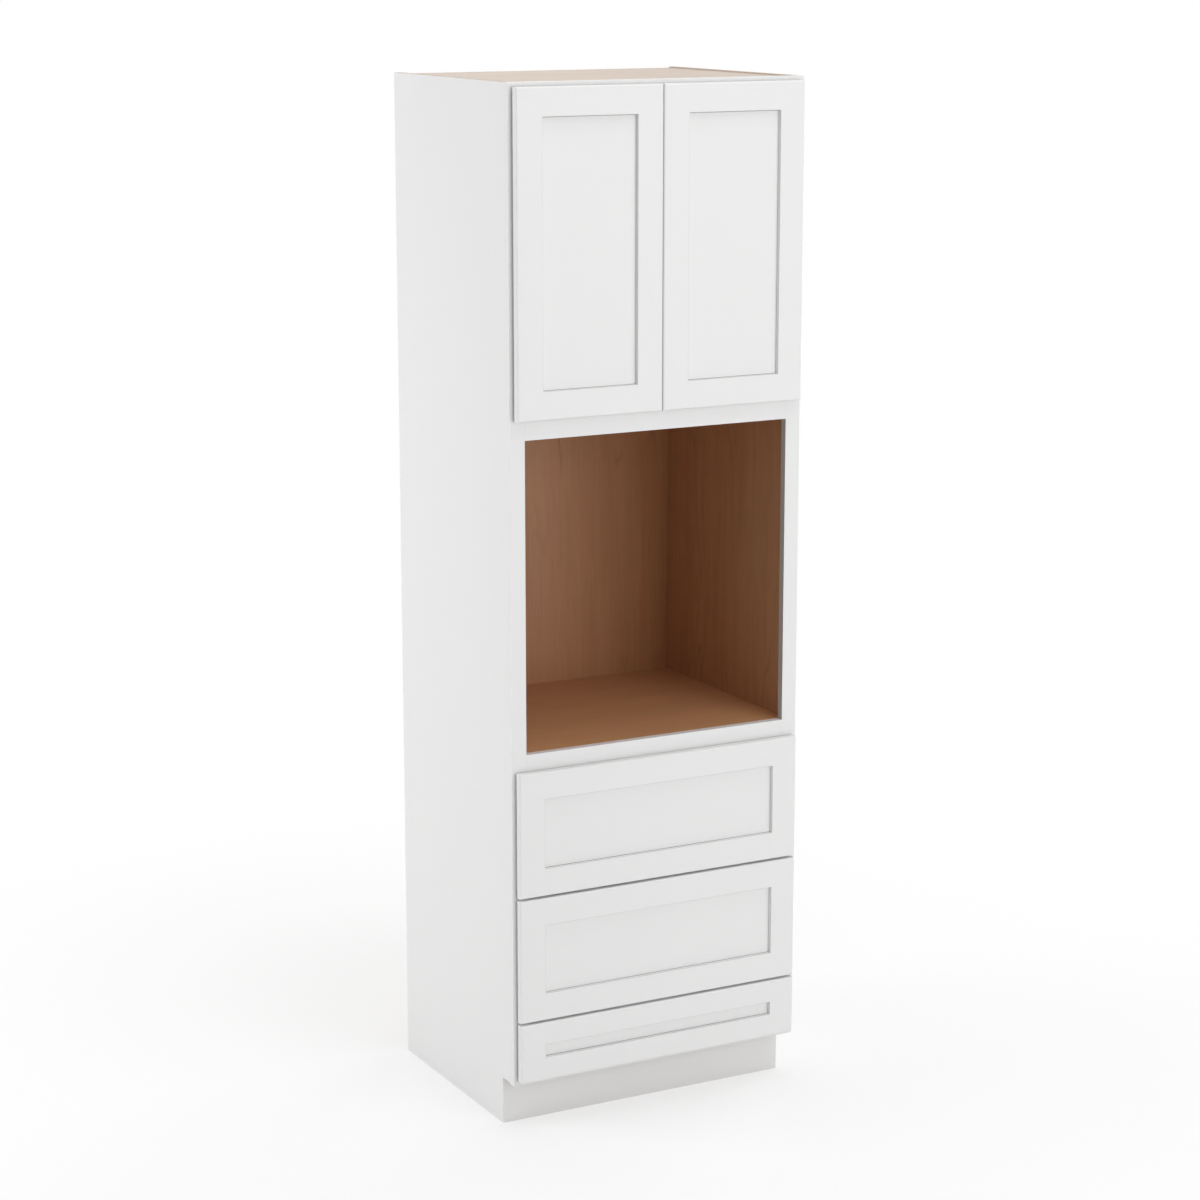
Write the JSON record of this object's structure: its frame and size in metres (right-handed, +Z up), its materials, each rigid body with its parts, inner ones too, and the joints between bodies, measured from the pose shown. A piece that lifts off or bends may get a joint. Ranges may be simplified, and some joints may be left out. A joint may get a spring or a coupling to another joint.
{
  "type": "tall oven cabinet",
  "caption": "Tall framed kitchen cabinet for a built-in oven: an open oven bay between a two-door shaker cupboard and a bank of shaker drawers, on a recessed toe kick.",
  "frame": {"origin": "on the floor, at the middle of the width and of the depth from the drawer fronts to the back", "axes": "+X to the right as seen from the front, +Y from the front to the back, +Z up"},
  "size_m": [0.762, 0.6274, 2.4384],
  "materials": {
    "painted_wood": "satin white paint",
    "veneered_plywood": "clear-coated brown veneer",
    "pale_plywood": "clear-coated birch plywood",
    "zinc_plated_steel": "zinc plated",
    "bumper": "soft and clear"
  },
  "bodies": {
    "root": {"left_side_panel": "painted_wood", "right_side_panel": "painted_wood", "top_panel": "pale_plywood", "back_panel": "veneered_plywood", "bottom_deck": "veneered_plywood", "oven_deck": "veneered_plywood", "cupboard_floor": "veneered_plywood", "toe_board": "painted_wood", "toe_support": "veneered_plywood", "left_stile": "painted_wood", "right_stile": "painted_wood", "top_rail": "painted_wood", "cupboard_rail": "painted_wood", "oven_rail": "painted_wood", "drawer_rails": "painted_wood", "bottom_rail": "painted_wood", "oven_deck_cleats": "veneered_plywood", "hanging_rails": "veneered_plywood", "adjustable_shelf": "veneered_plywood", "shelf_pins": "zinc_plated_steel", "hinge_arms": "zinc_plated_steel", "hinge_screws": "zinc_plated_steel", "outer_slides": "zinc_plated_steel", "slide_brackets": "zinc_plated_steel"},
    "left_door": {"left_door_stiles": "painted_wood", "left_door_rails": "painted_wood", "left_door_panel": "painted_wood", "left_hinge_cups": "zinc_plated_steel", "left_hinge_pins": "zinc_plated_steel", "left_door_bumpers": "bumper"},
    "right_door": {"right_door_stiles": "painted_wood", "right_door_rails": "painted_wood", "right_door_panel": "painted_wood", "right_hinge_cups": "zinc_plated_steel", "right_hinge_pins": "zinc_plated_steel", "right_door_bumpers": "bumper"},
    "bottom_drawer": {"bottom_drawer_front_stiles": "painted_wood", "bottom_drawer_front_rails": "painted_wood", "bottom_drawer_front_panel": "painted_wood", "bottom_drawer_box_sides": "pale_plywood", "bottom_drawer_box_ends": "pale_plywood", "bottom_drawer_box_bottom": "pale_plywood", "bottom_drawer_inner_slides": "zinc_plated_steel"},
    "bottom_drawer_slides": {"bottom_drawer_middle_slides": "zinc_plated_steel"},
    "middle_drawer": {"middle_drawer_front_stiles": "painted_wood", "middle_drawer_front_rails": "painted_wood", "middle_drawer_front_panel": "painted_wood", "middle_drawer_box_sides": "pale_plywood", "middle_drawer_box_ends": "pale_plywood", "middle_drawer_box_bottom": "pale_plywood", "middle_drawer_inner_slides": "zinc_plated_steel"},
    "middle_drawer_slides": {"middle_drawer_middle_slides": "zinc_plated_steel"},
    "top_drawer": {"top_drawer_front_stiles": "painted_wood", "top_drawer_front_rails": "painted_wood", "top_drawer_front_panel": "painted_wood", "top_drawer_box_sides": "pale_plywood", "top_drawer_box_ends": "pale_plywood", "top_drawer_box_bottom": "pale_plywood", "top_drawer_inner_slides": "zinc_plated_steel"},
    "top_drawer_slides": {"top_drawer_middle_slides": "zinc_plated_steel"}
  },
  "joints": [
    {"name": "left_door_hinge", "type": "hinge", "parent": "root", "child": "left_door", "pos_m": [-0.3644, -0.30475, 2.0595], "axis": [0, 0, -1], "range_deg": [0, 105]},
    {"name": "right_door_hinge", "type": "hinge", "parent": "root", "child": "right_door", "pos_m": [0.3644, -0.30475, 2.0595], "axis": [0, 0, 1], "range_deg": [0, 105]},
    {"name": "bottom_drawer_slide", "type": "slide", "parent": "root", "child": "bottom_drawer", "axis": [0, -1, 0], "range_m": [0, 0.5]},
    {"name": "bottom_drawer_middle_slide", "type": "slide", "parent": "root", "child": "bottom_drawer_slides", "axis": [0, -1, 0], "range_m": [0, 0.25]},
    {"name": "middle_drawer_slide", "type": "slide", "parent": "root", "child": "middle_drawer", "axis": [0, -1, 0], "range_m": [0, 0.5]},
    {"name": "middle_drawer_middle_slide", "type": "slide", "parent": "root", "child": "middle_drawer_slides", "axis": [0, -1, 0], "range_m": [0, 0.25]},
    {"name": "top_drawer_slide", "type": "slide", "parent": "root", "child": "top_drawer", "axis": [0, -1, 0], "range_m": [0, 0.5]},
    {"name": "top_drawer_middle_slide", "type": "slide", "parent": "root", "child": "top_drawer_slides", "axis": [0, -1, 0], "range_m": [0, 0.25]}
  ],
  "couplings": [
    {"joint": "bottom_drawer_middle_slide", "follows": "bottom_drawer_slide", "ratio": 0.5},
    {"joint": "middle_drawer_middle_slide", "follows": "middle_drawer_slide", "ratio": 0.5},
    {"joint": "top_drawer_middle_slide", "follows": "top_drawer_slide", "ratio": 0.5}
  ]
}
